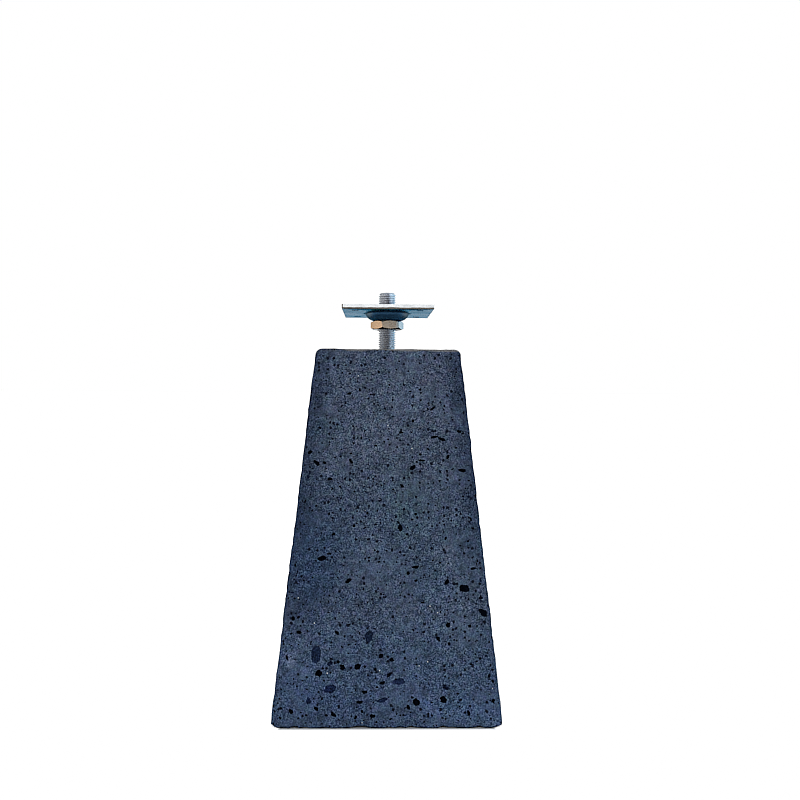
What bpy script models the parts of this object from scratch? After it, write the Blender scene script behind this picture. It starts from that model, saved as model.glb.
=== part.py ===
"""Adjustable post base: a tapered concrete foundation block with a threaded rod cast into its top,
a thin hexagon nut on the rod and a dished steel plate that rests on the nut and carries a post.

Lengths are in metres. The block stands on its underside at z = 0 with its front towards -Y.
"""
import math

import bmesh
import bpy

# concrete block
base_width = 0.1852  # square underside
top_width = 0.1216  # square top
block_height = 0.300
block_edge_radius = 0.007  # on the four standing edges
block_top_radius = 0.004  # on the four top edges
block_foot_radius = 0.0025  # on the four edges of the underside

# threaded rod, M16 with its coarse pitch
rod_diameter = 0.0157  # over the crests, as an M16 rolled thread measures
thread_pitch = 0.002
thread_depth = 0.0012
rod_reach = 0.0545  # stands this far out of the block
rod_embedded = 0.0655  # cast into the block
rod_end_chamfer = 0.0015

# adjusting nut, a thin hexagon nut chamfered on both sides
nut_across_flats = 0.027
nut_thickness = 0.008
nut_height = 0.021  # its underside above the block's top
nut_chamfer_width = 0.0007  # the washer face stops this far inside the flats
nut_chamfer_angle = 30.0  # degrees
nut_turn = 12.3  # degrees, as the photograph shows it

# post plate with a pressed dish round the rod
plate_width = 0.080
plate_thickness = 0.004
plate_corner_radius = 0.001
dish_rim_radius = 0.0203  # where the underside turns down
dish_floor_radius = 0.0171  # where the dish's wall would meet its floor, but for the bend
dish_depth = 0.0067
dish_rim_bend = 0.0020  # both bends on the underside, the upper side is a plate's thickness away
dish_floor_bend = 0.0090
screw_hole_diameter = 0.007
screw_hole_inset = 0.012  # hole centre in from the plate's edges

# gaps
contact_gap = 0.0003  # between two pieces that touch
thread_clearance = 0.0003  # round the rod, in the block, the nut and the plate

# facets
turned_steps = 40
thread_steps = 18
hole_steps = 16
bend_steps = 4

block_top = block_height
rod_radius = rod_diameter / 2
rod_low = block_top - rod_embedded
rod_high = block_top + rod_reach
bore_radius = (rod_radius + thread_clearance) / math.cos(math.pi / turned_steps)
nut_low = block_top + nut_height
nut_high = nut_low + nut_thickness
dish_low = nut_high + contact_gap
plate_low = dish_low + dish_depth
plate_high = plate_low + plate_thickness
nut_corner_radius = nut_across_flats / 2 / math.cos(math.pi / 6)
beyond = 0.010  # how far a cutter runs past the face that it cuts


def clearScene():
    for obj in list(bpy.data.objects):
        bpy.data.objects.remove(obj, do_unlink=True)


def newCollection(name):
    collection = bpy.data.collections.new(name)
    bpy.context.scene.collection.children.link(collection)
    return collection


def newMaterial(name, color, roughness, metallic):
    material = bpy.data.materials.new(name)
    material.use_nodes = True
    shader = material.node_tree.nodes["Principled BSDF"]
    shader.inputs["Base Color"].default_value = (*color, 1.0)
    shader.inputs["Roughness"].default_value = roughness
    shader.inputs["Metallic"].default_value = metallic
    material.diffuse_color = (*color, 1.0)
    return material


def newObject(name, bm, collection, material=None):
    bmesh.ops.recalc_face_normals(bm, faces=bm.faces)
    mesh = bpy.data.meshes.new(name)
    bm.to_mesh(mesh)
    bm.free()
    obj = bpy.data.objects.new(name, mesh)
    collection.objects.link(obj)
    if material is not None:
        mesh.materials.append(material)
    return obj


def cutWith(obj, cutter, operation):
    modifier = obj.modifiers.new(operation.lower() + "_" + cutter.name, "BOOLEAN")
    modifier.operation = operation
    modifier.solver = "EXACT"
    modifier.object = cutter


def hideCutter(obj):
    obj.hide_render = True
    obj.display_type = "WIRE"


def cylinder(radius, low, high, steps, x=0.0, y=0.0, bm=None):
    bm = bm or bmesh.new()
    made = bmesh.ops.create_cone(bm, cap_ends=True, segments=steps, radius1=radius, radius2=radius, depth=high - low)
    bmesh.ops.translate(bm, verts=made["verts"], vec=(x, y, (low + high) / 2))
    return bm


def roundEdges(bm, edges, radius, segments):
    bmesh.ops.bevel(
        bm, geom=edges, offset=radius, offset_type="OFFSET", segments=segments, profile=0.5, affect="EDGES", material=-1
    )


def prism(width, low, high, cornerRadius):
    """A square prism with rounded standing edges."""
    bm = bmesh.new()
    bmesh.ops.create_cube(bm, size=1.0)
    bmesh.ops.scale(bm, verts=bm.verts, vec=(width, width, high - low))
    bmesh.ops.translate(bm, verts=bm.verts, vec=(0, 0, (low + high) / 2))
    standing = [e for e in bm.edges if abs(e.verts[0].co.z - e.verts[1].co.z) > 1e-6]
    roundEdges(bm, standing, cornerRadius, 2)
    return bm


def filleted(points, radii):
    """The closed outline through these points, each corner with a radius turned into a short arc."""
    outline = []
    count = len(points)
    for i, (x, z) in enumerate(points):
        radius = radii[i]
        if not radius:
            outline.append((x, z))
            continue
        before, after = points[i - 1], points[(i + 1) % count]
        a = math.atan2(before[1] - z, before[0] - x)
        b = math.atan2(after[1] - z, after[0] - x)
        turn = (b - a + math.pi) % (2 * math.pi) - math.pi
        half = abs(turn) / 2
        middle = a + turn / 2
        reach = radius / math.sin(half)
        cx, cz = x + reach * math.cos(middle), z + reach * math.sin(middle)
        sweep = math.pi - abs(turn)
        start = middle + math.pi + math.copysign(sweep / 2, turn)
        for k in range(bend_steps + 1):
            t = start - math.copysign(sweep, turn) * k / bend_steps
            outline.append((cx + radius * math.cos(t), cz + radius * math.sin(t)))
    return outline


def turned(name, outline, collection, material=None, closed=True):
    """A solid of revolution: the outline at +X and a Screw modifier round Z."""
    bm = bmesh.new()
    verts = [bm.verts.new((r, 0, z)) for r, z in outline]
    for a, b in zip(verts, verts[1:]):
        bm.edges.new((a, b))
    if closed:
        bm.edges.new((verts[-1], verts[0]))
    mesh = bpy.data.meshes.new(name)
    bm.to_mesh(mesh)
    bm.free()
    obj = bpy.data.objects.new(name, mesh)
    collection.objects.link(obj)
    if material is not None:
        mesh.materials.append(material)
    screw = obj.modifiers.new("turn", "SCREW")
    screw.axis = "Z"
    screw.steps = turned_steps
    screw.render_steps = turned_steps
    screw.use_merge_vertices = True
    screw.merge_threshold = 0.00001
    return obj


def makeBlock(collection, cutters, material):
    bm = bmesh.new()
    bmesh.ops.create_cube(bm, size=1.0)
    for v in bm.verts:
        width = top_width if v.co.z > 0 else base_width
        v.co.x *= width
        v.co.y *= width
        v.co.z = block_height if v.co.z > 0 else 0.0
    standing = [e for e in bm.edges if abs(e.verts[0].co.z - e.verts[1].co.z) > block_height / 2]
    roundEdges(bm, standing, block_edge_radius, 4)
    roundEdges(bm, [e for e in bm.edges if min(v.co.z for v in e.verts) > block_height - 1e-6], block_top_radius, 4)
    roundEdges(bm, [e for e in bm.edges if max(v.co.z for v in e.verts) < 1e-6], block_foot_radius, 3)
    block = newObject("concrete_block", bm, collection, material)
    socket = newObject(
        "cut_rod_socket", cylinder(bore_radius, rod_low - contact_gap, block_top + beyond, turned_steps), cutters
    )
    cutWith(block, socket, "DIFFERENCE")
    return block


def makeRod(collection, cutters, material):
    """A right-hand V thread: a column of crests and roots at each step round, climbing one pitch a turn."""
    bm = bmesh.new()
    rows = 2 * (math.ceil((rod_high - rod_low) / thread_pitch) + 3)
    columns = []
    for step in range(thread_steps):
        angle = 2 * math.pi * step / thread_steps
        start = rod_low - 2 * thread_pitch + thread_pitch * step / thread_steps
        column = []
        for row in range(rows):
            r = rod_radius - thread_depth * (row % 2)
            column.append(bm.verts.new((r * math.cos(angle), r * math.sin(angle), start + row * thread_pitch / 2)))
        columns.append(column)
    for step, column in enumerate(columns):
        last = step == thread_steps - 1
        following = columns[0][2:] if last else columns[step + 1]
        for row in range(min(len(column), len(following)) - 1):
            bm.faces.new((column[row], following[row], following[row + 1], column[row + 1]))
    low = bm.verts.new((0, 0, rod_low - 2 * thread_pitch))
    high = bm.verts.new((0, 0, rod_high + 2 * thread_pitch))
    for edge in [e for e in bm.edges if e.is_boundary]:
        bottom = max(v.co.z for v in edge.verts) < (rod_low + rod_high) / 2
        bm.faces.new((*edge.verts, low if bottom else high))
    rod = newObject("threaded_rod", bm, collection, material)
    wide = rod_radius + thread_depth
    narrow = wide - thread_depth - rod_end_chamfer
    envelope = turned(
        "cut_rod_ends",
        [
            (0, rod_high), (narrow, rod_high), (wide, rod_high - (wide - narrow)),
            (wide, rod_low + (wide - narrow)), (narrow, rod_low), (0, rod_low),
        ],
        cutters,
        closed=False,
    )
    cutWith(rod, envelope, "INTERSECT")
    return rod


def makeNut(collection, cutters, material):
    bm = bmesh.new()
    bmesh.ops.create_cone(
        bm, cap_ends=True, segments=6, radius1=nut_corner_radius, radius2=nut_corner_radius,
        depth=nut_thickness + 2 * beyond,
    )
    for v in bm.verts:
        angle = math.radians(nut_turn)
        x, y = v.co.x, v.co.y
        v.co.x = x * math.cos(angle) - y * math.sin(angle)
        v.co.y = x * math.sin(angle) + y * math.cos(angle)
        v.co.z += (nut_low + nut_high) / 2
    nut = newObject("adjusting_nut", bm, collection, material)
    inner = nut_across_flats / 2 - nut_chamfer_width
    outer = nut_corner_radius + nut_chamfer_width
    drop = (outer - inner) * math.tan(math.radians(nut_chamfer_angle))
    crown = turned(
        "cut_nut_crown",
        [
            (0, nut_high), (inner, nut_high), (outer, nut_high - drop),
            (outer, nut_low + drop), (inner, nut_low), (0, nut_low),
        ],
        cutters,
        closed=False,
    )
    bore = newObject("cut_nut_bore", cylinder(bore_radius, nut_low - beyond, nut_high + beyond, turned_steps), cutters)
    cutWith(nut, crown, "INTERSECT")
    cutWith(nut, bore, "DIFFERENCE")
    return nut


def makePlate(collection, cutters, material):
    slope = math.atan2(dish_rim_radius - dish_floor_radius, dish_depth)
    wall = plate_thickness / math.cos(slope)
    topRim = dish_rim_radius + plate_thickness * math.tan(slope) - wall
    topFloor = dish_floor_radius + plate_thickness * math.tan(slope) - wall
    disc = plate_width
    corners = [
        (disc, plate_high, 0), (disc, plate_low, 0),
        (dish_rim_radius, plate_low, dish_rim_bend), (dish_floor_radius, dish_low, dish_floor_bend),
        (bore_radius, dish_low, 0), (bore_radius, dish_low + plate_thickness, 0),
        (topFloor, dish_low + plate_thickness, dish_floor_bend - plate_thickness),
        (topRim, plate_high, dish_rim_bend + plate_thickness),
    ]
    outline = filleted([(r, z) for r, z, _ in corners], [radius for _, _, radius in corners])
    plate = turned("post_plate", outline, collection, material)
    square = newObject(
        "cut_plate_square", prism(plate_width, dish_low - beyond, plate_high + beyond, plate_corner_radius), cutters
    )
    holes = bmesh.new()
    place = plate_width / 2 - screw_hole_inset
    for x in (-place, place):
        for y in (-place, place):
            cylinder(screw_hole_diameter / 2, plate_low - beyond, plate_high + beyond, hole_steps, x, y, holes)
    cutWith(plate, square, "INTERSECT")
    cutWith(plate, newObject("cut_screw_holes", holes, cutters), "DIFFERENCE")
    return plate


clearScene()
parts = newCollection("adjustable_post_base")
cutters = newCollection("cutters")
concrete = newMaterial("concrete", (0.045, 0.060, 0.092), 0.88, 0.0)
rodZinc = newMaterial("rod_zinc", (0.33, 0.34, 0.36), 0.38, 1.0)
nutZinc = newMaterial("nut_zinc", (0.52, 0.48, 0.42), 0.32, 1.0)
plateZinc = newMaterial("plate_zinc", (0.48, 0.53, 0.57), 0.34, 1.0)

pieces = [
    makeBlock(parts, cutters, concrete),
    makeRod(parts, cutters, rodZinc),
    makeNut(parts, cutters, nutZinc),
    makePlate(parts, cutters, plateZinc),
]
for piece in pieces:
    for polygon in piece.data.polygons:
        polygon.use_smooth = False
for cutter in cutters.objects:
    hideCutter(cutter)
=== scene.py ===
import math
import random

import bmesh
import bpy
from mathutils import Matrix, Vector, noise


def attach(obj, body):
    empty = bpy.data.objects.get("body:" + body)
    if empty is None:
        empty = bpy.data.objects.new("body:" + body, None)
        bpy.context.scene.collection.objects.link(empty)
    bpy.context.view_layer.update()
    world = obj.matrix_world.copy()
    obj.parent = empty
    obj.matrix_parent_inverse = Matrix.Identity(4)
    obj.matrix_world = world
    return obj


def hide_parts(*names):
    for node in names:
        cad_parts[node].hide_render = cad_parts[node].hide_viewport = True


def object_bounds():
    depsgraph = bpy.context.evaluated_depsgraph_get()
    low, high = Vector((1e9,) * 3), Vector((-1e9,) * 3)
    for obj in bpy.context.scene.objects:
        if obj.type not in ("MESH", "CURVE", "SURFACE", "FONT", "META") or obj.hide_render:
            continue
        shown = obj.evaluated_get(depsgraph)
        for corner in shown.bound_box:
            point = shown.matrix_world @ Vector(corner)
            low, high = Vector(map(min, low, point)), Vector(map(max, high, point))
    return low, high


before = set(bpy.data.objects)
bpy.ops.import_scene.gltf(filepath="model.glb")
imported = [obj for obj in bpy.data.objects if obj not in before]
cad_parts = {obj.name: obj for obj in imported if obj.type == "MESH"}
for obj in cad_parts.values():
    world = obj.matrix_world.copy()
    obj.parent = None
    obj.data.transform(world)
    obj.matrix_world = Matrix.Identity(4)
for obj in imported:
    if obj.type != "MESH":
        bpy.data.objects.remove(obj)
cadLow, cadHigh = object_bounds()
print("frame loaded:", ", ".join(sorted(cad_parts)))


def keepPiece(name, bm, body, node, materials):
    mesh = bpy.data.meshes.new(name)
    bm.to_mesh(mesh)
    bm.free()
    return dressPiece(name, mesh, body, node, materials)


def dressPiece(name, mesh, body, node, materials, sharpAngle=34):
    for material in materials[len(mesh.materials):]:
        mesh.materials.append(material)
    for polygon in mesh.polygons:
        polygon.use_smooth = True
    mesh.set_sharp_from_angle(angle=math.radians(sharpAngle))
    obj = bpy.data.objects.new(name, mesh)
    bpy.context.scene.collection.objects.link(obj)
    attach(obj, body)
    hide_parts(node)
    return obj


def looseObject(name, bm, materials=()):
    mesh = bpy.data.meshes.new(name)
    bm.to_mesh(mesh)
    bm.free()
    for material in materials:
        mesh.materials.append(material)
    obj = bpy.data.objects.new(name, mesh)
    bpy.context.scene.collection.objects.link(obj)
    return obj


def cutAway(solid, cutter, solver="MANIFOLD"):
    modifier = solid.modifiers.new("cut", "BOOLEAN")
    modifier.operation = "DIFFERENCE"
    modifier.solver = solver
    modifier.object = cutter
    depsgraph = bpy.context.evaluated_depsgraph_get()
    mesh = bpy.data.meshes.new_from_object(solid.evaluated_get(depsgraph), depsgraph=depsgraph)
    for obj in (solid, cutter):
        old = obj.data
        bpy.data.objects.remove(obj, do_unlink=True)
        bpy.data.meshes.remove(old)
    return mesh


def growRings(bm, rings):
    verts = [bm.verts.new(p) for p in rings[0]]
    edges = [bm.edges.new((a, b)) for a, b in zip(verts, verts[1:] + verts[:1])]
    for ring in rings[1:]:
        order = {tuple(v.co): i for i, v in enumerate(verts)}
        grown = bmesh.ops.extrude_edge_only(bm, edges=edges)["geom"]
        fresh = [g for g in grown if isinstance(g, bmesh.types.BMVert)]
        byIndex = {order[tuple(v.co)]: v for v in fresh}
        for i, v in byIndex.items():
            v.co = ring[i]
        verts = [byIndex[i] for i in range(len(ring))]
        known = set(verts)
        edges = [g for g in grown if isinstance(g, bmesh.types.BMEdge) and set(g.verts) <= known]
    bmesh.ops.remove_doubles(bm, verts=bm.verts, dist=1e-6)
    bmesh.ops.recalc_face_normals(bm, faces=bm.faces)


def roundEdges(bm, edges, radius, segments):
    bmesh.ops.bevel(
        bm, geom=edges, offset=radius, offset_type="OFFSET", segments=segments, profile=0.5,
        affect="EDGES", material=-1, clamp_overlap=True,
    )


def softenEdges(bm, width, segments, angle=25):
    sharp = math.radians(angle)
    corners = [e for e in bm.edges if len(e.link_faces) == 2 and e.calc_face_angle() > sharp]
    roundEdges(bm, corners, width, segments)


# the camera
camera = {
    "place": (-0.01091, -0.64361, 0.2678),
    "turn": -0.0154, "roll": 0.0054,  # radians
    "lens": 31.522, "sensor": 36, "shift": (0.0178, -0.01506), "near": 0.01,
}


def addCamera():
    data = bpy.data.cameras.new("camera")
    data.sensor_fit = "HORIZONTAL"
    data.sensor_width = camera["sensor"]
    data.lens = camera["lens"]
    data.shift_x, data.shift_y = camera["shift"]
    data.clip_start = camera["near"]
    obj = bpy.data.objects.new("camera", data)
    turn = Matrix.Rotation(camera["turn"], 4, "Z") @ Matrix.Rotation(math.pi / 2, 4, "X")
    turn = turn @ Matrix.Rotation(camera["roll"], 4, "Z")
    obj.matrix_world = Matrix.Translation(camera["place"]) @ turn
    bpy.context.scene.collection.objects.link(obj)
    bpy.context.scene.camera = obj


addCamera()
print("camera placed")


# floor and light
studio = {
    "floorSize": 30.0, "floorDrop": 0.0002, "floorTone": (0.86, 0.86, 0.86), "floorGlow": 0.42,
    "shadeReach": (0.0922, 0.0962), "cornerFade": 0.0090, "contactShadowTone": (0.30, 0.31, 0.33),
    # colours of the surround, and where on its axis each one comes in
    "behind": (0.36, 0.33, 0.30),
    "ahead": (1.0, 1.0, 1.0), "aheadFrom": (-0.75, 0.15),
    "left": (0.84, 0.88, 0.94), "leftFrom": (-0.55, -0.95),
    "right": (0.84, 0.98, 1.08), "rightFrom": (0.35, 0.9),
    "above": (1.0, 1.0, 1.0), "aboveFrom": (0.35, 0.8),
    "crispness": 0.11, "gamma": 2.2,
    "softboxes": [  # place, aim, size, watts, colour
        ((-0.55, -1.00, 1.35), (0, 0, 0.2), 0.9, 9.0, (1.0, 0.98, 0.95)),
        ((0.90, -0.55, 0.95), (0, 0, 0.2), 0.7, 3.5, (0.93, 0.97, 1.0)),
    ],
}


def newTree(owner):
    owner.use_nodes = True
    owner.node_tree.nodes.clear()
    return owner.node_tree


def add(tree, kind, values=None, **settings):
    node = tree.nodes.new(kind)
    for name, value in settings.items():
        setattr(node, name, value)
    for name, value in (values or {}).items():
        socket = node.inputs[name]
        if isinstance(value, bpy.types.NodeSocket):
            tree.links.new(value, socket)
        else:
            socket.default_value = (*value, 1.0) if socket.type == "RGBA" and len(value) == 3 else value
    return node


def ramp(tree, factor, stops):
    node = add(tree, "ShaderNodeValToRGB", {"Fac": factor})
    band = node.color_ramp
    band.interpolation = "LINEAR"
    while len(band.elements) < len(stops):
        band.elements.new(0.5)
    for element, (place, tone) in zip(band.elements, stops):
        element.position = place
        element.color = (*tone, 1.0) if isinstance(tone, tuple) else (tone, tone, tone, 1.0)
    return node.outputs["Color"]


def spread(tree, value, low, high, toLow=0.0, toHigh=1.0):
    return add(tree, "ShaderNodeMapRange", {
        "Value": value, "From Min": low, "From Max": high, "To Min": toLow, "To Max": toHigh,
    }, interpolation_type="SMOOTHSTEP").outputs["Result"]


def blendTones(tree, factor, a, b, mode="MIX"):
    node = tree.nodes.new("ShaderNodeMix")
    node.data_type, node.blend_type, node.clamp_result = "RGBA", mode, False
    for socket, value in ((node.inputs[0], factor), (node.inputs[6], a), (node.inputs[7], b)):
        if isinstance(value, bpy.types.NodeSocket):
            tree.links.new(value, socket)
        else:
            socket.default_value = (*value, 1.0) if isinstance(value, tuple) else value
    return node.outputs[2]


def math2(tree, operation, a, b=0.5):
    node = tree.nodes.new("ShaderNodeMath")
    node.operation = operation
    for socket, value in zip(node.inputs, (a, b)):
        if isinstance(value, bpy.types.NodeSocket):
            tree.links.new(value, socket)
        else:
            socket.default_value = value
    return node.outputs[0]


def grain(tree, where, scale, detail=2.0, roughness=0.5, distortion=0.0, output="Fac"):
    return add(tree, "ShaderNodeTexNoise", {
        "Vector": where, "Scale": scale, "Detail": detail, "Roughness": roughness, "Distortion": distortion,
    }).outputs[output]


def tint(tree, factor, tone, by):
    return blendTones(tree, factor, tone, by, "MULTIPLY")


def product(tree, a, b):
    return math2(tree, "MULTIPLY", a, b)


def stir(tree, value, cloud, amount):  # a noise moves the value up and down
    return math2(tree, "ADD", value, product(tree, math2(tree, "SUBTRACT", cloud, 0.5), amount))


def vectorMath(tree, operation, *values):
    return add(tree, "ShaderNodeVectorMath", dict(enumerate(values)), operation=operation).outputs


def parts(tree, vector):
    return add(tree, "ShaderNodeSeparateXYZ", {"Vector": vector}).outputs


def addStudio():
    bm = bmesh.new()
    bmesh.ops.create_grid(bm, x_segments=1, y_segments=1, size=studio["floorSize"])
    bmesh.ops.translate(bm, verts=bm.verts, vec=(0, 0, -studio["floorDrop"]))
    paper = bpy.data.materials.new("paper_floor")
    tree = newTree(paper)
    flat = parts(tree, vectorMath(tree, "ABSOLUTE", add(tree, "ShaderNodeTexCoord").outputs["Object"])[0])
    away = math2(tree, "MAXIMUM", math2(tree, "ADD", flat["X"], studio["cornerFade"]), flat["Y"])
    away = spread(tree, away, *studio["shadeReach"])  # painted contact shadow: the floor turns darker and stops glowing in a thin line right at the foot
    shader = add(tree, "ShaderNodeBsdfPrincipled", {
        "Base Color": blendTones(tree, away, studio["contactShadowTone"], studio["floorTone"]),
        "Roughness": 0.9, "Specular IOR Level": 0.1,
        "Emission Color": (1, 1, 1), "Emission Strength": product(tree, away, studio["floorGlow"]),
    })
    add(tree, "ShaderNodeOutputMaterial", {"Surface": shader.outputs[0]})
    looseObject("floor", bm, [paper])

    world = bpy.data.worlds.new("studio")
    bpy.context.scene.world = world
    tree = newTree(world)
    axes = parts(tree, add(tree, "ShaderNodeTexCoord").outputs["Generated"])
    tone = studio["behind"]
    for axis, side in (("Y", "ahead"), ("X", "left"), ("X", "right"), ("Z", "above")):
        tone = blendTones(tree, spread(tree, axes[axis], *studio[side + "From"]), tone, studio[side])
    seen = add(tree, "ShaderNodeLightPath").outputs["Is Camera Ray"]
    tone = blendTones(tree, seen, tone, (1.0, 1.0, 1.0))
    back = add(tree, "ShaderNodeBackground", {"Color": tone, "Strength": 1.0})
    add(tree, "ShaderNodeOutputWorld", {"Surface": back.outputs[0]})

    for i, (place, aim, size, watts, tone) in enumerate(studio["softboxes"]):
        light = bpy.data.lights.new("softbox%d" % i, "AREA")
        light.size, light.energy, light.color = size, watts, tone
        obj = bpy.data.objects.new("softbox%d" % i, light)
        turn = (Vector(place) - Vector(aim)).to_track_quat("Z", "Y").to_matrix().to_4x4()
        obj.matrix_world = Matrix.Translation(place) @ turn
        bpy.context.scene.collection.objects.link(obj)
    bpy.context.scene.view_settings.view_transform = "Standard"


addStudio()
print("floor and light ready")


# the cast concrete
concrete = {
    "dark": (0.0044, 0.0080, 0.0215), "body": (0.0225, 0.0385, 0.0690), "light": (0.103, 0.135, 0.194),
    "fineStops": (0.34, 0.47, 0.68),  # where dark, body and light lie in the fine grain
    # noises: scale, detail, roughness, distortion
    "fine": (980.0, 2.0, 0.7, 0.4), "mid": (190.0, 3.0, 0.6, 0.3), "patch": (26.0, 3.0, 0.55),
    "mottle": (215.0, 2.0, 0.6), "drift": (42.0, 2.0), "cluster": (70.0, 2.0), "pore": (1400.0, 2.0, 0.6),
    "calm": (34.0, 3.0, 0.6), "arrisHighlightRise": (45.0, 3.0), "arrisHighlightGaps": (38.0, 2.0),
    "midShare": 0.80, "midStops": [(0.30, 0.45), (0.5, 0.95), (0.7, 1.35)],
    "patchStops": [(0.3, 0.86), (0.7, 1.14)],
    "calmReach": (0.46, 0.62, 0.0, 0.46), "calmTone": (0.047, 0.066, 0.106),
    "mottleDepth": 0.42, "driftReach": 0.03,
    "pitScale": 310.0, "pitShare": (0.36, 0.66, 0.18, 0.62), "pitReach": (0.3, 1.0, 0.20, 0.42),
    "pitRagged": 0.30, "pitDepth": 0.94, "pitBump": 0.5,
    "speckScale": 75.0, "speckReach": 0.035, "speckTone": (0.36, 0.38, 0.40),
    "heights": [  # share of the block's height, colour factor
        (0.0, (0.88, 0.96, 1.09)), (0.12, (0.92, 0.98, 1.06)), (0.22, (1.02, 0.99, 1.02)),
        (0.45, (0.91, 0.95, 0.98)), (0.80, (1.02, 0.96, 0.95)),
    ],
    "edgeShade": (0.0245, 0.0020), "edgeShadeStir": 0.010, "edgeShadeRise": (0.03, 0.22, 0.1, 1.0),
    "edgeShadeTone": (0.55, 0.59, 0.67),
    "arrisHighlight": (0.17, 0.166, 0.160), "arrisHighlightShare": 0.74, "arrisHighlightGrain": 0.6, "arrisHighlightStops": [(0.3, 0.45), (0.7, 1.2)],
    "arrisHighlightHeight": (0.2978, 0.2997), "arrisHighlightStir": 0.004, "arrisHighlightReach": (0.0440, 0.0590, 0.10, 1.0),
    "arrisHighlightEdgeStir": 0.030, "arrisHighlightGapReach": (0.30, 0.55, 0.25, 1.0), "arrisHighlightEnd": (-0.039, -0.032, 0.15, 1.0),
    "roughness": 0.95, "gloss": 0.03, "bump": 0.55, "bumpDepth": 0.00035,
    "poreShadeTone": (0.0030, 0.0045, 0.0100), "poreStops": [(0.3, 0.4), (0.7, 1.6)],
    "hollowShade": (0.20, 0.24, 0.36),
    "footShade": (0.0011, 0.0003), "footStir": 0.0012, "footShare": 0.93,
    # tone zones of the front: across, height, half width, half height (mm), colour factor
    "zones": [
        (-68, 132, 48, 76, (0.68, 0.75, 0.83)), (-54, 108, 26, 34, (0.78, 0.83, 0.88)),
        (-12, 228, 40, 48, (1.10, 1.07, 1.04)), (14, 176, 26, 46, (0.97, 1.06, 0.97)),
        (-50, 232, 20, 18, (0.90, 1.03, 0.98)), (42, 278, 20, 16, (1.10, 0.97, 1.0)),
        (46, 134, 14, 20, (1.30, 1.22, 1.14)), (-12, 140, 9, 20, (1.22, 1.16, 1.10)),
        (-74, 48, 10, 12, (1.50, 1.38, 1.26)), (30, 108, 20, 26, (0.88, 0.94, 0.96)),
        (62, 262, 16, 34, (0.84, 0.86, 0.88)), (62, 17, 30, 12, (1.14, 1.20, 1.24)),
        (34, 19, 14, 11, (1.18, 1.24, 1.30)), (-62, 26, 36, 18, (0.98, 1.0, 1.08)),
        (70, 96, 24, 60, (1.04, 1.05, 1.02)), (54, 58, 30, 30, (1.08, 1.06, 1.03)),
    ],
    "zoneBack": -0.08, "zoneDepth": 0.04, "zoneFade": (1.0, 0.25),
}


def zone(tree, where, x, z, halfWidth, halfHeight):
    local = add(tree, "ShaderNodeMapping", {
        "Vector": where, "Location": (x / 1000, concrete["zoneBack"], z / 1000),
        "Scale": (halfWidth / 1000, concrete["zoneDepth"], halfHeight / 1000),
    }, vector_type="TEXTURE").outputs[0]
    return spread(tree, vectorMath(tree, "LENGTH", local)["Value"], *concrete["zoneFade"])


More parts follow.
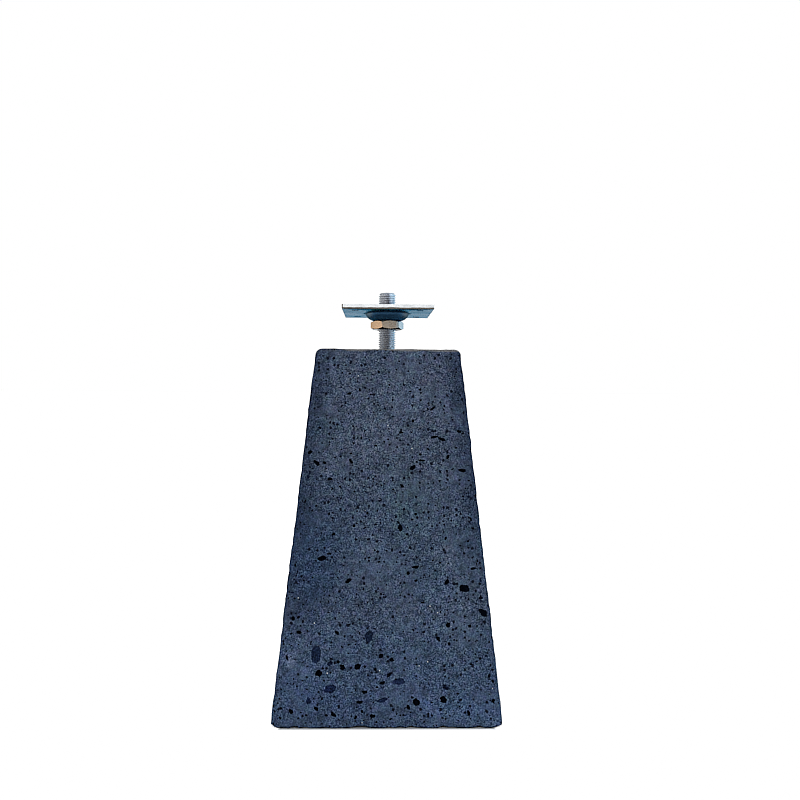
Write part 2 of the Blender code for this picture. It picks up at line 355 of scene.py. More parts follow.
def concreteFinish(name="cast_concrete", shade=(1.0, 1.0, 1.0)):
    look = concrete
    material = bpy.data.materials.new(name)
    tree = newTree(material)
    where = add(tree, "ShaderNodeTexCoord").outputs["Object"]
    axes = parts(tree, where)
    height = axes["Z"]
    fine = grain(tree, where, *look["fine"])
    mid = grain(tree, where, *look["mid"])
    patch = grain(tree, where, *look["patch"])
    tone = ramp(tree, fine, list(zip(look["fineStops"], (look["dark"], look["body"], look["light"]))))
    calm = spread(tree, grain(tree, where, *look["calm"]), *look["calmReach"])  # smoother patches
    tone = blendTones(tree, calm, tone, look["calmTone"])
    tone = tint(tree, look["midShare"], tone, ramp(tree, mid, look["midStops"]))
    tone = tint(tree, 1.0, tone, ramp(tree, patch, look["patchStops"]))
    # faint colour mottling of the cement
    k = look["mottleDepth"]
    mottle = grain(tree, where, *look["mottle"], output="Color")
    mottle = vectorMath(tree, "MULTIPLY_ADD", mottle, (k, k, k), (1 - k / 2, 1 - k / 2, 1 - k / 2))[0]
    tone = tint(tree, 1.0, tone, mottle)
    tone = tint(tree, 1.0, tone, ramp(tree, spread(tree, height, 0.0, block["height"]), look["heights"]))
    k = look["driftReach"]
    drift = grain(tree, where, *look["drift"], output="Color")
    drift = vectorMath(tree, "MULTIPLY_ADD", drift, (k, k, k), (-k / 2, -k / 2, -k / 2))[0]
    moved = vectorMath(tree, "ADD", where, drift)[0]
    for x, z, halfWidth, halfHeight, factor in look["zones"]:
        inside = zone(tree, moved, x, z, halfWidth, halfHeight)
        tone = blendTones(tree, inside, tone, tint(tree, 1.0, tone, factor))
    # painted shade: the faces turn darker towards the standing edges, and more so higher up
    sides = parts(tree, vectorMath(tree, "ABSOLUTE", where)[0])
    slope = (block["baseWidth"] - block["topWidth"]) / 2 / block["height"]
    half = math2(tree, "SUBTRACT", block["baseWidth"] / 2, product(tree, height, slope))
    inward = math2(tree, "SUBTRACT", half, math2(tree, "MINIMUM", sides["X"], sides["Y"]))
    inward = stir(tree, inward, mid, look["edgeShadeStir"])
    edgeShade = product(tree, spread(tree, inward, *look["edgeShade"]), spread(tree, height, *look["edgeShadeRise"]))
    tone = blendTones(tree, edgeShade, tone, tint(tree, 1.0, tone, look["edgeShadeTone"]))
    tone = tint(tree, 1.0, tone, shade)
    # painted shade in pinholes: some cells hold a dark dot
    cells = add(tree, "ShaderNodeTexVoronoi", {"Vector": where, "Scale": look["pitScale"]}).outputs
    lot = parts(tree, cells["Color"])
    share = spread(tree, grain(tree, where, *look["cluster"]), *look["pitShare"])
    chosen = math2(tree, "LESS_THAN", lot["X"], share)
    reach = spread(tree, lot["Y"], *look["pitReach"])
    ragged = stir(tree, cells["Distance"], fine, look["pitRagged"])
    pits = product(tree, math2(tree, "LESS_THAN", ragged, reach), chosen)
    tone = blendTones(tree, product(tree, pits, look["pitDepth"]), tone, look["poreShadeTone"])
    stones = add(tree, "ShaderNodeTexVoronoi", {"Vector": where, "Scale": look["speckScale"]}).outputs
    specks = math2(tree, "LESS_THAN", stones["Distance"], look["speckReach"])
    tone = blendTones(tree, specks, tone, look["speckTone"])
    # painted highlight: a pale band along the top arris where the rounded edge catches the light from above,
    # gone at its left end
    raised = stir(tree, height, grain(tree, where, *look["arrisHighlightRise"]), look["arrisHighlightStir"])
    outer = math2(tree, "MAXIMUM", sides["X"], sides["Y"])
    for cloud in (mid, patch):
        outer = stir(tree, outer, cloud, look["arrisHighlightEdgeStir"])
    highlighted = product(tree, spread(tree, raised, *look["arrisHighlightHeight"]), spread(tree, outer, *look["arrisHighlightReach"]))
    gaps = grain(tree, where, *look["arrisHighlightGaps"])
    highlighted = product(tree, highlighted, spread(tree, gaps, *look["arrisHighlightGapReach"]))
    highlighted = product(tree, highlighted, spread(tree, axes["X"], *look["arrisHighlightEnd"]))
    arrisHighlight = tint(tree, look["arrisHighlightGrain"], look["arrisHighlight"], ramp(tree, fine, look["arrisHighlightStops"]))
    tone = blendTones(tree, product(tree, highlighted, look["arrisHighlightShare"]), tone, arrisHighlight)
    # painted contact shade right at the foot
    foot = spread(tree, stir(tree, height, mid, look["footStir"]), *look["footShade"])
    tone = blendTones(tree, product(tree, foot, look["footShare"]), tone, look["poreShadeTone"])
    rough = add(tree, "ShaderNodeBump", {
        "Strength": look["bump"], "Distance": look["bumpDepth"],
        "Height": math2(tree, "SUBTRACT", fine, product(tree, pits, look["pitBump"])),
    })
    shader = add(tree, "ShaderNodeBsdfPrincipled", {
        "Base Color": tone, "Roughness": look["roughness"], "Specular IOR Level": look["gloss"],
        "Normal": rough.outputs[0],
    })
    add(tree, "ShaderNodeOutputMaterial", {"Surface": shader.outputs[0]})
    return material


def hollowFinish(name, tone):
    material = bpy.data.materials.new(name)
    tree = newTree(material)
    fine = grain(tree, add(tree, "ShaderNodeTexCoord").outputs["Object"], *concrete["pore"])
    shader = add(tree, "ShaderNodeBsdfPrincipled", {
        "Base Color": tint(tree, 1.0, tone, ramp(tree, fine, concrete["poreStops"])),
        "Roughness": concrete["roughness"], "Specular IOR Level": 0.0,
    })
    add(tree, "ShaderNodeOutputMaterial", {"Surface": shader.outputs[0]})
    return material


# the cast block with its pores
block = {
    "baseWidth": 0.1852, "topWidth": 0.1216, "height": 0.300,
    "edgeRadius": 0.007, "topRadius": 0.004, "footRadius": 0.0006,
    "cell": 0.0042,
    "wave": 0.00042, "waves": ((22, 0.5), (90, 0.3), (240, 0.5)),  # how far the cast faces wander
    "crown": 0.00025, "crownWave": (25, 1.2),  # the struck top stands this proud of its nominal height
    "edgeWave": 0.00100, "edgeScale": 170, "edgeReach": 0.018,  # how ragged the standing edges are
    # how far the ragged lip is lifted and set back, where the mould stood open
    "footLift": 0.0016, "footWear": 0.0010, "lipHeight": 0.0022, "lipBand": 0.003,
    "lipWaves": ((75, 2.2), (240, 1.6)), "lipSound": 0.10,
    "footCorner": 0.0018, "cornerReach": 0.010, "cornerHeight": 0.006,  # lifted corners of the foot
    "crust": (-0.050, 0.013, 0.00045),  # a raised lump on the front top edge: across, half length, height
    "crustBand": 0.012,
    "socketRadius": 0.00815, "socketDepth": 0.0658, "socketOver": 0.005, "socketSteps": 64,
    # a face in mm: half its width at the foot, what that loses, over this height
    "face": (92.6, 31.8, 300),
    # pores on the front: across, height above the floor, half length, half width (mm), tilt (degrees)
    "frontPores": [
        (61.6, 106.8, 4.6, 3.0, -20), (-54.5, 41.5, 3.0, 2.7, 20), (23.1, 19.4, 3.4, 2.8, -47),
        (77.1, 87.9, 3.8, 2.4, -37), (10.1, 154.6, 2.6, 2.2, -72), (8.7, 158.6, 1.5, 0.8, -50),
        (-23.4, 46.4, 2.8, 2.5, 73), (-53.3, 130.4, 3.6, 2.0, 3), (-35.6, 46.2, 2.5, 2.1, -30),
        (-39.0, 50.2, 1.5, 1.4, 0), (38.0, 227.6, 3.6, 1.3, 6), (44.3, 226.0, 3.0, 1.4, -22),
        (44.5, 21.6, 3.1, 2.6, -35), (61.1, 200.7, 3.2, 1.7, -7), (20.5, 202.9, 3.1, 1.6, 41),
        (27.9, 208.6, 3.3, 0.8, -6), (-31.4, 112.8, 3.0, 1.7, 35), (22.4, 123.7, 3.2, 1.4, 14),
        (47.8, 111.9, 2.3, 1.7, 53), (-42.2, 10.3, 2.3, 1.7, -36), (48.7, 78.6, 2.3, 1.9, 57),
        (-5.0, 55.0, 2.3, 1.7, 49), (-3.7, 34.3, 2.4, 1.3, 15), (-11.4, 9.2, 2.2, 1.6, -8),
        (-17.9, 27.3, 2.4, 1.3, 0), (-47.2, 193.4, 2.6, 1.4, 1), (-75.6, 12.8, 2.0, 1.8, -40),
        (-21.7, 19.7, 2.8, 1.3, 0), (58.4, 232.4, 2.5, 1.2, -14), (16.7, 15.7, 2.2, 1.4, -61),
        (-30.2, 207.9, 2.7, 1.2, -61), (-70.4, 73.0, 2.0, 1.6, -7), (-75.2, 83.6, 1.9, 1.6, -74),
        (73.5, 127.0, 3.2, 1.0, -13), (49.0, 211.5, 2.2, 1.2, 76), (40.5, 68.0, 2.3, 1.5, -65),
        (-58.0, 206.4, 3.2, 1.6, -38), (-63.8, 214.9, 2.0, 1.4, 32), (11.4, 188.1, 2.3, 1.2, -48),
        (16.8, 118.9, 1.8, 1.6, -80), (3.6, 51.8, 2.0, 1.4, 0), (1.6, 40.5, 1.9, 1.4, 22),
        (69.0, 122.4, 2.6, 1.0, 11), (64.5, 11.5, 2.0, 1.4, 86), (-40.2, 72.5, 2.0, 1.4, -43),
        (-44.0, 149.4, 1.8, 1.3, 32), (84.2, 20.6, 1.6, 1.5, 81), (84.0, 35.3, 1.8, 1.2, -59),
        (10.7, 231.2, 2.0, 1.0, 11), (-55.9, 14.8, 2.0, 1.4, -22), (65.9, 77.6, 1.5, 1.4, 42),
        (49.3, 64.1, 1.5, 1.2, -88), (-19.7, 12.6, 1.5, 1.1, -70), (-24.8, 8.3, 1.9, 1.2, 52),
        (-23.4, 266.3, 1.5, 1.1, -73), (-9.5, 44.5, 1.6, 1.3, 82), (36.7, 251.1, 2.6, 1.0, 36),
        (-32.1, 263.2, 2.2, 1.1, 8), (20.5, 240.9, 1.4, 1.1, -72), (-51.7, 206.5, 1.6, 1.3, -27),
    ],
    # shallow hollows: across, height, half length, half width, tilt, depth (mm)
    "frontHollows": [
        (-56.5, 55.5, 7.0, 3.3, 84, 1.2), (-14.5, 69.8, 4.6, 3.3, 70, 1.4), (-44.7, 29.9, 5.6, 2.9, 12, 1.2),
        (9.4, 35.2, 5.0, 2.3, 4, 1.2), (-4.0, 21.0, 4.2, 1.8, 16, 1.2), (46.1, 31.0, 3.2, 1.9, -48, 0.9),
        (-45.3, 49.0, 2.8, 1.8, 35, 1.0), (-62.0, 20.5, 2.0, 2.6, 0, 0.9),
    ],
    "frontPoreDepth": (0.95, 1.3), "fineAbove": 1.9,
    # seeded pores a face: how many, half lengths from and to (mm), how round, how fine
    "pores": [(14, 1.5, 2.5, 0.70, 3), (110, 0.90, 1.55, 0.68, 2), (280, 0.6, 1.0, 0.75, 1)],
    "frontShare": [0.0, 0.85, 1.0],
    "poreLow": 3, "poreHigh": 292, "poreGap": 0.5, "giveUp": 0.002,
    "lowBias": 1.05, "smallBias": 1.8, "smallAbove": 180, "smaller": 0.88,
    "roundSpread": 0.15, "leastRound": 0.35, "tiltSpread": 28, "poreDepth": (0.8, 1.3), "darkShare": 0.85,
    "edgeChips": (18, 0.8, 2.1, 0.5),  # notches an edge: how many, half lengths from and to, depth (mm)
    "chipHeight": (12, 285), "chipInset": (4.5, 8.0), "chipRound": (0.5, 0.9), "chipDepth": (0.7, 1.5),
    "chipDark": 0.4,
    "topPores": [(4, 1.4, 2.2, 0.8, 2), (24, 0.7, 1.3, 0.7, 2), (90, 0.35, 0.7, 0.7, 1)],
    "topReach": 52, "topClear": 10,
    "rough": (0.25, 0.42), "roughScale": 1.5, "sunk": 0.2,  # how uneven a pore is, small and large
    "lot": 40,  # pores are made in small lots, because each operator walks its whole mesh
}


def taper(v):
    half = block["baseWidth"] / 2
    here = half + (block["topWidth"] / 2 - half) * v.co.z / block["height"]
    flat = half - block["edgeRadius"]
    for axis in (0, 1):
        side, reach = math.copysign(1, v.co[axis]), abs(v.co[axis])
        reach = reach * (here - block["edgeRadius"]) / flat if reach <= flat else here - half + reach
        v.co[axis] = side * reach


def wandering(place, waves):
    return sum(noise.noise(place * scale) * share for scale, share in waves)


def blockForm():
    half = block["baseWidth"] / 2
    bm = bmesh.new()
    bmesh.ops.create_cube(bm, size=1.0)
    bmesh.ops.scale(bm, verts=bm.verts, vec=(block["baseWidth"], block["baseWidth"], block["height"]))
    bmesh.ops.translate(bm, verts=bm.verts, vec=(0, 0, block["height"] / 2))
    standing = [e for e in bm.edges if abs(e.verts[0].co.z - e.verts[1].co.z) > block["height"] / 2]
    roundEdges(bm, standing, block["edgeRadius"], 6)
    upper = [e for e in bm.edges if min(v.co.z for v in e.verts) > block["height"] - 1e-6]
    roundEdges(bm, upper, block["topRadius"], 5)
    lower = [e for e in bm.edges if max(v.co.z for v in e.verts) < 1e-6]
    roundEdges(bm, lower, block["footRadius"], 4)
    for axis in range(3):  # a fine net over the flats
        across = [e for e in bm.edges if abs(e.verts[0].co[axis] - e.verts[1].co[axis]) > 0.05]
        length = max(abs(e.verts[0].co[axis] - e.verts[1].co[axis]) for e in across)
        cuts = round(length / block["cell"]) - 1
        bmesh.ops.subdivide_edges(bm, edges=across, cuts=cuts, use_grid_fill=True)
    bm.normal_update()
    for v in bm.verts:
        v.co += v.normal * block["wave"] * wandering(v.co, block["waves"])
        if v.normal.z > 0.3:
            scale, swell = block["crownWave"]
            rise = block["crown"] * (1 + swell * noise.noise(v.co * scale))
            v.co.z += rise * min(1, 2 * (v.normal.z - 0.3))
        inward = half - min(abs(v.co.x), abs(v.co.y))
        if inward < block["edgeReach"]:
            near = 1 - inward / block["edgeReach"]
            v.co += v.normal * block["edgeWave"] * noise.noise(v.co * block["edgeScale"]) * near
        if v.co.z < block["lipHeight"]:
            low = 1 - max(0.0, v.co.z) / block["lipHeight"]
            worn = max(0.0, min(1.0, wandering(v.co, block["lipWaves"]) - block["lipSound"]))
            v.co.z = max(0.0, v.co.z + block["footLift"] * worn * low)
            for axis in (0, 1):
                if abs(v.co[axis]) > half - block["lipBand"]:
                    v.co[axis] -= math.copysign(block["footWear"] * worn * low, v.co[axis])
        if v.co.y < -half + block["crustBand"] and v.normal.z > 0.2:
            middle, length, rise = block["crust"]
            near = max(0.0, 1 - abs(v.co.x / block["baseWidth"] * block["topWidth"] - middle) / length)
            v.co.z += rise * math.sqrt(near) * min(1.0, 2 * v.normal.z)
    for v in bm.verts:
        inward = half - min(abs(v.co.x), abs(v.co.y))
        if inward < block["cornerReach"] and v.co.z < block["cornerHeight"]:
            near = (1 - inward / block["cornerReach"]) ** 1.5
            v.co.z += block["footCorner"] * near * (1 - v.co.z / block["cornerHeight"])
        taper(v)
        for axis in (0, 1):
            v.co[axis] = max(cadLow[axis], min(cadHigh[axis], v.co[axis]))
    bmesh.ops.recalc_face_normals(bm, faces=bm.faces)
    return bm


def faceFrame(side, x, z):
    slope = math.atan2((block["baseWidth"] - block["topWidth"]) / 2, block["height"])
    back = block["baseWidth"] / 2 - z * math.tan(slope)
    return (
        Matrix.Rotation(side * math.pi / 2, 4, "Z")
        @ Matrix.Translation((x, -back, z))
        @ Matrix.Rotation(-slope, 4, "X")
        @ Matrix.Rotation(math.pi / 2, 4, "X")
    )  # its x runs along the face, its y up the face and its z out of it


def addPore(bm, place, half, width, depth, tilt, fineness, chance, kind, sunk):
    shape = place @ Matrix.Rotation(math.radians(tilt), 4, "Z")
    shape = shape @ Matrix.Translation((0, 0, -depth * sunk)) @ Matrix.Diagonal((half, width, depth, 1))
    verts = bmesh.ops.create_icosphere(bm, subdivisions=fineness, radius=1.0, matrix=shape)["verts"]
    centre = shape.translation
    seed = Vector((chance.uniform(-50, 50), chance.uniform(-50, 50), chance.uniform(-50, 50)))
    rough = block["rough"][fineness > 1]
    for v in verts:
        out = v.co - centre
        v.co = centre + out * (1 + rough * noise.noise(out / half * block["roughScale"] + seed))
    for face in {f for v in verts for f in v.link_faces}:
        face.material_index = kind


def halfAcross(z):
    foot, lost, height = block["face"]
    return foot - z * lost / height


def seededPores(chance, side, taken, count, small, large, roundness, fineness):
    places = []
    while count:
        z = 1000 * block["height"] * chance.random() ** block["lowBias"]
        size = small + (large - small) * chance.random() ** block["smallBias"]
        if z > block["smallAbove"]:
            size *= block["smaller"]
        edge = halfAcross(z)
        x = chance.uniform(-edge, edge)
        clear = block["poreLow"] < z < block["poreHigh"]
        if not clear or any(math.hypot(x - a, z - b) < size + c + block["poreGap"] for a, b, c in taken):
            if chance.random() < block["giveUp"]:
                count -= 1
            continue
        width = size * min(1.0, chance.gauss(roundness, block["roundSpread"]))
        width = max(width, size * block["leastRound"])
        tilt = chance.gauss(0, block["tiltSpread"])
        depth = width * chance.uniform(*block["poreDepth"])
        kind = 1 if chance.random() < block["darkShare"] else 2
        places.append((side, x, z, size, width, tilt, depth, fineness, kind))
        taken.append((x, z, size))
        count -= 1
    return places


def edgeChips(chance, side, end):
    places = []
    count, small, large, deep = block["edgeChips"]
    for k in range(count):
        z = chance.uniform(*block["chipHeight"])
        x = end * (halfAcross(z) - chance.uniform(*block["chipInset"]))
        size = small + (large - small) * chance.random() ** 2
        width = size * chance.uniform(*block["chipRound"])
        tilt = chance.uniform(0, 180)
        depth = deep * chance.uniform(*block["chipDepth"])
        kind = 1 if chance.random() < block["chipDark"] else 2
        places.append((side, x, z, size, width, tilt, depth, 2, kind))
    return places


def porePlaces(chance):
    places = []  # side, x, height, half length, half width, tilt, depth, fineness, kind
    for x, z, half, width, tilt in block["frontPores"]:
        depth = width * chance.uniform(*block["frontPoreDepth"])
        places.append((0, x, z, half, width, tilt, depth, 3 if half > block["fineAbove"] else 2, 1))
    for x, z, half, width, tilt, depth in block["frontHollows"]:
        places.append((0, x, z, half, width, tilt, depth, 3, 2))
    for side in range(4):
        taken = [(p[1], p[2], p[3]) for p in places if p[0] == side]
        for (count, *kind), share in zip(block["pores"], block["frontShare"]):
            count = round(count * (share if side == 0 else 1.0))
            places += seededPores(chance, side, taken, count, *kind)
        for end in (-1, 1):
            places += edgeChips(chance, side, end)
    return places


def topPlaces(chance):
    places = []
    taken = [(0, 0, block["topClear"])]
    reach = block["topReach"]
    for count, small, large, roundness, fineness in block["topPores"]:
        for k in range(count):
            size = chance.uniform(small, large)
            x, y = chance.uniform(-reach, reach), chance.uniform(-reach, reach)
            if any(math.hypot(x - a, y - b) < size + c + block["poreGap"] for a, b, c in taken):
                continue
            places.append((x, y, size, size * chance.uniform(roundness, 1), chance.uniform(0, 180), fineness))
            taken.append((x, y, size))
    return places


def poreCutters():
    chance = random.Random(11)
    mm = 0.001
    jobs = []
    for side, x, z, half, width, tilt, depth, fineness, kind in porePlaces(chance):
        sunk = 0.0 if kind == 2 else block["sunk"]
        place = faceFrame(side, x * mm, z * mm)
        jobs.append((place, half * mm, width * mm, depth * mm, tilt, fineness, kind, sunk))
    for x, y, half, width, tilt, fineness in topPlaces(chance):
        place = Matrix.Translation((x * mm, y * mm, block["height"]))
        jobs.append((place, half * mm, width * mm, width * mm, tilt, fineness, 1, block["sunk"]))
    bm = bmesh.new()
    for first in range(0, len(jobs), block["lot"]):
        lot = bmesh.new()
        for place, half, width, depth, tilt, fineness, kind, sunk in jobs[first:first + block["lot"]]:
            addPore(lot, place, half, width, depth, tilt, fineness, chance, kind, sunk)
        mesh = bpy.data.meshes.new("lot")
        lot.to_mesh(mesh)
        lot.free()
        bm.from_mesh(mesh)
        bpy.data.meshes.remove(mesh)
    depth, over, radius = block["socketDepth"], block["socketOver"], block["socketRadius"]
    bmesh.ops.create_cone(
        bm, cap_ends=True, segments=block["socketSteps"], radius1=radius, radius2=radius,
        depth=depth + 2 * over, matrix=Matrix.Translation((0, 0, block["height"] - depth / 2 + over)),
    )
    return bm


def addBlock():
    # painted shade: the pore insides get a near-black colour and the shallow hollows a darkened copy of the
    # concrete
    materials = [
        concreteFinish(), hollowFinish("pore_shade", concrete["poreShadeTone"]),
        concreteFinish("hollow_shade", concrete["hollowShade"]),
    ]
    form = looseObject("block_form", blockForm(), materials)
    cutters = looseObject("pore_cutters", poreCutters(), materials)
    print("block form", len(form.data.polygons), "faces, cutters", len(cutters.data.polygons))
    mesh = cutAway(form, cutters)
    mesh.calc_loop_triangles()
    print("block after cutting:", len(mesh.loop_triangles), "triangles")
    dressPiece("castBlock", mesh, "base", "concrete_block", materials)


addBlock()
print("block made")


# the zinc plating of the rod, the nut and the plate
zinc = {
    "cloud": (3.0, 0.6), "fine": (2.0, 0.6),  # detail and roughness of the two noises
    "stops": (0.32, 0.68), "speckleStops": [(0.3, 0.55), (0.7, 1.4)], "dullReach": (0.3, 0.7),
    "upward": (-0.1, 0.3), "downward": (0.1, -0.1), "underneath": (-0.3, -0.6),
    "acrossReach": (-0.016, 0.016), "acrossStir": 0.005, "bumpDepth": 0.0001,
}


def zincFinish(name, look):
    material = bpy.data.materials.new(name)
    tree = newTree(material)
    where = add(tree, "ShaderNodeTexCoord").outputs["Object"]
    axes = parts(tree, where)
    facing = parts(tree, add(tree, "ShaderNodeNewGeometry").outputs["Normal"])["Z"]
    flat = vectorMath(tree, "MULTIPLY", where, (1, 1, 0))[0]
    radius = vectorMath(tree, "LENGTH", flat)["Value"]
    cloud = grain(tree, where, look["cloudScale"], *zinc["cloud"])
    fine = grain(tree, where, look["fineScale"], *zinc["fine"])
    tone = ramp(tree, cloud, list(zip(zinc["stops"], look["tones"])))
    if "topTones" in look:  # painted shade: the underside keeps the darker, bluer tones and the upper side gets paler ones
        upperTone = ramp(tree, cloud, list(zip(zinc["stops"], look["topTones"])))
        tone = blendTones(tree, spread(tree, facing, *zinc["upward"]), tone, upperTone)
    tone = tint(tree, look["speckle"], tone, ramp(tree, fine, zinc["speckleStops"]))
    dull = spread(tree, cloud, *zinc["dullReach"], *look["roughness"])
    if "roots" in look:  # grease and shade between the threads
        tone = blendTones(tree, spread(tree, radius, *look["roots"]), tone, look["rootTone"])
    if "pressed" in look:  # painted shade and painted reflection under the pressed dish: dark blue in the bowl, darker at the rim, greyer towards the flanks, and rougher there
        uneven = stir(tree, radius, cloud, look["pressedStir"])
        under = spread(tree, facing, *zinc["downward"])
        dishShade = product(tree, spread(tree, uneven, *look["pressed"]), under)
        bowl = blendTones(tree, spread(tree, uneven, *look["rimReach"]), look["pressedTone"], look["rimTone"])
        across = math2(tree, "ABSOLUTE", axes["X"])
        bowl = blendTones(tree, spread(tree, across, *look["flankReach"]), bowl, look["flankTone"])
        tone = blendTones(tree, dishShade, tone, bowl)
        dull = add(tree, "ShaderNodeMix", {0: dishShade, 2: dull, 3: look["pressedDull"]}).outputs[0]
    if "across" in look:  # painted reflections: across the piece the tone turns from warm at the left, through darker in the middle, to pale blue at the right
        place = spread(tree, stir(tree, axes["X"], cloud, zinc["acrossStir"]), *zinc["acrossReach"])
        place.node.interpolation_type = "LINEAR"
        tone = tint(tree, 1.0, tone, ramp(tree, place, look["across"]))
    if "undersideShadeTone" in look:  # painted shade on the downward faces, with a painted highlight at their left end
        leftHighlight = spread(tree, axes["X"], *look["leftHighlight"])
        leftHighlight = blendTones(tree, leftHighlight, look["leftHighlightTone"], look["undersideShadeTone"])
        tone = blendTones(tree, spread(tree, facing, *zinc["underneath"]), tone, leftHighlight)
    if "shear" in look:  # the lower part of the cut edges, and the edge at the left end, are darker
        uneven = stir(tree, axes["Z"], grain(tree, where, *look["shearNoise"]), look["shearStir"])
        darkerEdge = spread(tree, uneven, *look["shear"])
        darkerEdge = math2(tree, "MAXIMUM", darkerEdge, spread(tree, axes["X"], *look["shearEnd"]))
        tone = blendTones(tree, darkerEdge, tone, look["shearTone"])
    rough = add(tree, "ShaderNodeBump", {
        "Strength": look["bump"], "Distance": zinc["bumpDepth"], "Height": fine,
    })
    shader = add(tree, "ShaderNodeBsdfPrincipled", {
        "Base Color": tone, "Metallic": look.get("metal", 1.0), "Roughness": dull,
        "Specular Tint": look["grazing"], "Normal": rough.outputs[0],
    })
    add(tree, "ShaderNodeOutputMaterial", {"Surface": shader.outputs[0]})
    return material


# the threaded rod
rod = {
    "radius": 0.00785, "depth": 0.00118, "pitch": 0.002, "low": 0.2345, "high": 0.3545,
    "crest": 0.00028, "root": 0.00045, "endCut": 0.0015, "steps": 56,
    "look": {
        "tones": ((0.56, 0.58, 0.61), (0.74, 0.77, 0.80)),
        "cloudScale": 90.0, "fineScale": 1500.0, "speckle": 0.16,
        "across": [
            (0.28, (0.96, 0.91, 0.86)), (0.42, (0.78, 0.77, 0.78)), (0.51, (0.66, 0.67, 0.72)),
            (0.60, (0.88, 0.95, 1.02)), (0.70, (1.04, 1.20, 1.27)),
        ],
        "roots": (0.0071, 0.0067), "rootTone": (0.42, 0.44, 0.47),
        "roughness": (0.30, 0.42), "bump": 0.25, "grazing": (0.8, 0.85, 0.9),
    },
}


def addRod():
    bm = bmesh.new()
    start = rod["low"] - 2 * rod["pitch"]
    flank = (rod["pitch"] - rod["crest"] - rod["root"]) / 2
    depth = rod["depth"]
    profile = [
        (0, 0), (rod["crest"], 0), (rod["crest"] + flank, depth), (rod["crest"] + flank + rod["root"], depth),
    ]
    chain = []
    while start < rod["high"] + rod["pitch"]:
        chain += [bm.verts.new((rod["radius"] - sunk, 0, start + step)) for step, sunk in profile]
        start += rod["pitch"]
    edges = [bm.edges.new(pair) for pair in zip(chain, chain[1:])]
    bmesh.ops.spin(
        bm, geom=chain + edges, cent=(0, 0, 0), axis=(0, 0, 1), dvec=(0, 0, rod["pitch"] / rod["steps"]),
        angle=2 * math.pi, steps=rod["steps"], use_merge=False, use_duplicate=False,
    )
    bmesh.ops.remove_doubles(bm, verts=bm.verts, dist=1e-6)
    for level, up in ((rod["low"], -1), (rod["high"], 1)):
        bmesh.ops.bisect_plane(
            bm, geom=bm.verts[:] + bm.edges[:] + bm.faces[:], plane_co=(0, 0, level),
            plane_no=(0, 0, up), clear_outer=True, dist=1e-7,
        )
        loose = [e for e in bm.edges if e.is_boundary]
        rim = [e for e in loose if all(abs(v.co.z - level) < 1e-6 for v in e.verts)]
        bmesh.ops.edgeloop_fill(bm, edges=rim)
    for v in bm.verts:  # turned ends
        out = math.hypot(v.co.x, v.co.y)
        room = rod["radius"] - rod["endCut"] + min(rod["high"] - v.co.z, v.co.z - rod["low"])
        if out > room:
            v.co.x *= room / out
            v.co.y *= room / out
    bmesh.ops.recalc_face_normals(bm, faces=bm.faces)
    plating = zincFinish("rod_zinc_plating", rod["look"])
    keepPiece("threadedRod", bm, "base", "threaded_rod", [plating])


addRod()
print("rod made")


# the adjusting nut
nut = {
    "flats": 0.027, "low": 0.321, "high": 0.329, "turn": 12.3, "washer": 0.0128, "slope": 30.0,
    "bore": 0.00815, "boreCut": 0.0010, "sidePoints": 16, "edge": 0.00016,
    "look": {
        "tones": ((0.90, 0.90, 0.90), (1.0, 1.0, 1.0)),
        "cloudScale": 140.0, "fineScale": 1300.0, "speckle": 0.3,
        "across": [
            (0.06, (0.60, 0.39, 0.23)), (0.33, (0.73, 0.46, 0.27)), (0.368, (0.48, 0.39, 0.30)),
            (0.72, (0.44, 0.38, 0.32)), (0.85, (0.415, 0.575, 0.67)),
        ],
        "undersideShadeTone": (0.050, 0.047, 0.045), "leftHighlightTone": (0.62, 0.62, 0.60), "leftHighlight": (-0.0100, -0.0080),
        "roughness": (0.24, 0.36), "bump": 0.2, "grazing": (0.9, 0.9, 0.9),
    },
}


def addNut():
    steps = nut["sidePoints"]
    reach = nut["flats"] / 2 / math.cos(math.pi / 6)
    angles = [math.radians(a) for a in range(0, 360, 60)]
    corners = [Vector((math.cos(a), math.sin(a))) * reach for a in angles]
    hexagon = [a.lerp(b, k / steps) for a, b in zip(corners, corners[1:] + corners[:1]) for k in range(steps)]
    turn = Matrix.Rotation(math.radians(nut["turn"]), 2)
    hexagon = [turn @ p for p in hexagon]
    fall = math.tan(math.radians(nut["slope"]))

    def circle(radius, z):
        return [(*(p.normalized() * radius), z) for p in hexagon]

    def sides(share):
        ring = []
        for p in hexagon:
            drop = (p.length - nut["washer"]) * fall
            low, high = nut["low"] + drop, nut["high"] - drop
            ring.append((*p, low + (high - low) * share))
        return ring

    low, high, bore, cut = nut["low"], nut["high"], nut["bore"], nut["boreCut"]
    rings = [
        circle(bore, low + cut), circle(bore + cut, low), circle(nut["washer"], low),
        sides(0), sides(0.5), sides(1),
        circle(nut["washer"], high), circle(bore + cut, high),
        circle(bore, high - cut), circle(bore, low + cut),
    ]
    bm = bmesh.new()
    growRings(bm, rings)
    softenEdges(bm, nut["edge"], 2)
    plating = zincFinish("nut_zinc_with_painted_reflections", nut["look"])
    obj = keepPiece("adjustingNut", bm, "nut", "adjusting_nut", [plating])
    obj.modifiers.new("even_normals", "WEIGHTED_NORMAL").keep_sharp = True


addNut()
print("nut made")


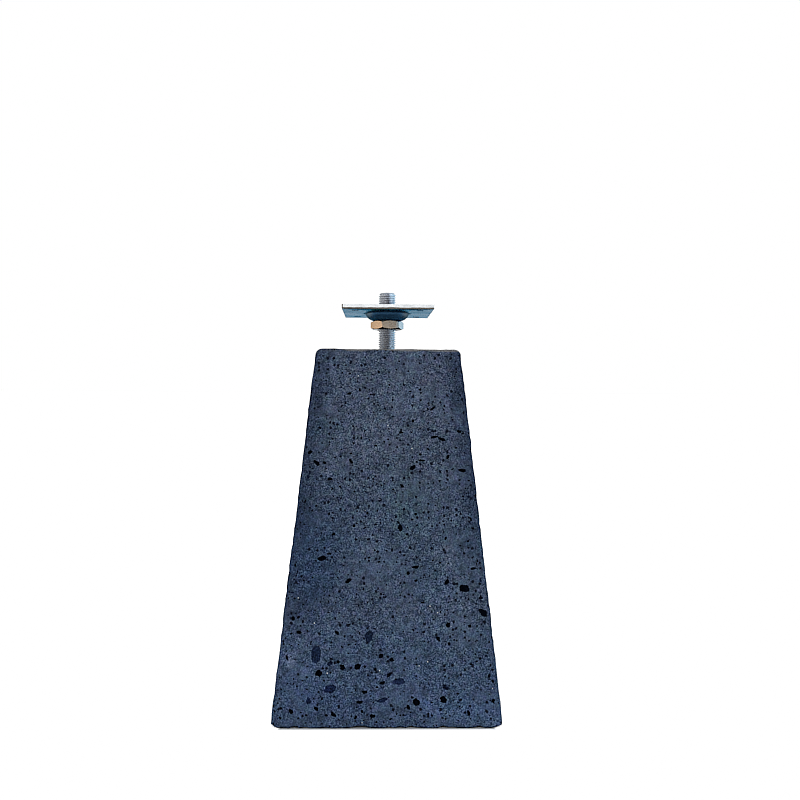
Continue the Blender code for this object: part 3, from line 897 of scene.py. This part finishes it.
# the plate that the post is screwed to
plate = {
    "width": 0.080, "low": 0.336, "thickness": 0.004, "cornerRadius": 0.001, "leastCorner": 0.0003,
    "rim": 0.0203, "floor": 0.0171, "depth": 0.0067, "rimBend": 0.0020, "floorBend": 0.0090,
    "bendSteps": 10, "dishReach": 0.026,
    "bore": 0.00815, "hole": 0.0035, "holeInset": 0.012, "holeEdge": 0.0003, "holeOver": 0.0005,
    "holeSteps": 48,
    "edgeRadius": 0.0004, "edgeBreak": 0.3, "edgeBand": 1.1, "sideSteps": 26, "cornerSteps": 5,
    "look": {
        "tones": ((0.115, 0.27, 0.40), (0.155, 0.35, 0.48)),
        "topTones": ((0.40, 0.49, 0.56), (0.52, 0.60, 0.66)),
        "pressed": (0.0230, 0.0198), "pressedStir": 0.004, "pressedDull": 0.50,
        "pressedTone": (0.075, 0.21, 0.36),
        "rimReach": (0.0160, 0.0190), "rimTone": (0.032, 0.090, 0.165),
        "flankReach": (0.0115, 0.0175), "flankTone": (0.12, 0.15, 0.175),
        "cloudScale": 70.0, "fineScale": 900.0, "speckle": 0.3,
        "roughness": (0.22, 0.32), "bump": 0.2, "grazing": (0.22, 0.34, 0.42),
    },
    "edgeLook": {
        "tones": ((0.52, 0.54, 0.56), (0.66, 0.68, 0.70)),
        "cloudScale": 120.0, "fineScale": 900.0, "speckle": 0.15,
        "shear": (0.3375, 0.3371), "shearNoise": (160.0, 3.0), "shearStir": 0.0010,
        "shearEnd": (-0.0388, -0.0393), "shearTone": (0.095, 0.085, 0.072), "metal": 0.15,
        "roughness": (0.5, 0.6), "bump": 0.2, "grazing": (1.0, 1.0, 1.0),
    },
}


def arc(points, radii, steps):
    path = []
    for i, p in enumerate(points):
        radius = radii[i]
        if not radius:
            path.append(Vector(p))
            continue
        here = Vector(p)
        before = (Vector(points[i - 1]) - here).normalized()
        after = (Vector(points[i + 1]) - here).normalized()
        half = before.angle(after) / 2
        centre = here + (before + after).normalized() * radius / math.sin(half)
        first = here + before * radius / math.tan(half) - centre
        last = here + after * radius / math.tan(half) - centre
        for k in range(steps + 1):
            path.append(centre + first.normalized().slerp(last.normalized(), k / steps) * radius)
    return path


def squareRing(width, radius, z):
    flat = width / 2 - radius
    points = []
    for quarter in range(4):
        turn = Matrix.Rotation(quarter * math.pi / 2, 2)
        for k in range(plate["sideSteps"]):
            points.append(turn @ Vector((width / 2, -flat + 2 * flat * k / plate["sideSteps"])))
        for k in range(plate["cornerSteps"]):
            a = math.pi / 2 * k / plate["cornerSteps"]
            points.append(turn @ Vector((flat + radius * math.cos(a), flat + radius * math.sin(a))))
    return [(*p, z) for p in points]


def holeCutters(low, high):
    bm = bmesh.new()
    place, edge, over = plate["width"] / 2 - plate["holeInset"], plate["holeEdge"], plate["holeOver"]
    steps = plate["holeSteps"]
    turns = [2 * math.pi * k / steps for k in range(steps)]
    spokes = [Vector((math.cos(a), math.sin(a))) for a in turns]
    hole, flare = plate["hole"], plate["hole"] + edge + over
    rings = [(flare, low - over), (hole, low + edge), (hole, high - edge), (flare, high + over)]
    for x in (-place, place):
        for y in (-place, place):
            growRings(bm, [[(x + s.x * radius, y + s.y * radius, z) for s in spokes] for radius, z in rings])
    bmesh.ops.holes_fill(bm, edges=bm.edges, sides=0)
    bmesh.ops.recalc_face_normals(bm, faces=bm.faces)
    return bm


def addPlate():
    low, high = plate["low"], plate["low"] + plate["thickness"]
    slope = math.atan2(plate["rim"] - plate["floor"], plate["depth"])
    wall = plate["thickness"] / math.cos(slope)
    shift = plate["thickness"] * math.tan(slope) - wall
    reach, bore = plate["dishReach"], plate["bore"]
    bottom, top = low - plate["depth"], high - plate["depth"]
    under = arc(
        [(bore, bottom), (plate["floor"], bottom), (plate["rim"], low), (reach, low)],
        [0, plate["floorBend"], plate["rimBend"], 0], plate["bendSteps"],
    )
    over = arc(
        [(reach, high), (plate["rim"] + shift, high), (plate["floor"] + shift, top), (bore, top)],
        [0, plate["rimBend"] + plate["thickness"], plate["floorBend"] - plate["thickness"], 0],
        plate["bendSteps"],
    )
    outline = squareRing(plate["width"], plate["cornerRadius"], 0)
    rays = [Vector(p[:2]).normalized() for p in outline]

    def circle(radius, z):
        return [(*(ray * radius), z) for ray in rays]

    def square(inset, z):
        corner = max(plate["cornerRadius"] - inset, plate["leastCorner"])
        return squareRing(plate["width"] - 2 * inset, corner, z)

    e = plate["edgeRadius"]
    part = e * plate["edgeBreak"]
    rings = [circle(r, z) for r, z in under]
    rings += [square(e, low), square(part, low + part), square(0, low + e)]
    rings += [square(0, high - e), square(part, high - part), square(e, high)]
    rings += [circle(r, z) for r, z in over]
    rings.append(rings[0])
    bm = bmesh.new()
    growRings(bm, rings)
    limit = plate["width"] / 2 - e * plate["edgeBand"]
    for face in bm.faces:  # the cut edge has its own finish
        face.material_index = int(all(max(abs(v.co.x), abs(v.co.y)) > limit for v in face.verts))

    materials = [
        zincFinish("plate_zinc_plating", plate["look"]), zincFinish("plate_cut_edge", plate["edgeLook"]),
    ]
    solid = looseObject("plate_form", bm, materials)
    holes = looseObject("plate_holes", holeCutters(low, high), materials)
    mesh = cutAway(solid, holes, "EXACT")
    dressPiece("postPlate", mesh, "plate", "post_plate", materials)


addPlate()
print("plate made")


def addFinishing():
    scene = bpy.context.scene
    scene.use_nodes = True
    tree = scene.node_tree
    tree.nodes.clear()
    layers = tree.nodes.new("CompositorNodeRLayers")
    limit = tree.nodes.new("CompositorNodeMixRGB")
    limit.blend_type, limit.use_clamp = "MULTIPLY", True
    limit.inputs[2].default_value = (1, 1, 1, 1)
    toDisplay = tree.nodes.new("CompositorNodeGamma")
    toDisplay.inputs["Gamma"].default_value = 1 / studio["gamma"]
    crisp = tree.nodes.new("CompositorNodeFilter")
    crisp.filter_type = "SHARPEN"
    crisp.inputs["Fac"].default_value = studio["crispness"]
    toLight = tree.nodes.new("CompositorNodeGamma")
    toLight.inputs["Gamma"].default_value = studio["gamma"]
    out = tree.nodes.new("CompositorNodeComposite")
    tree.links.new(layers.outputs["Image"], limit.inputs[1])
    chain = [limit, toDisplay, crisp, toLight, out]
    for before, after in zip(chain, chain[1:]):
        tree.links.new(before.outputs["Image"], after.inputs["Image"])


addFinishing()
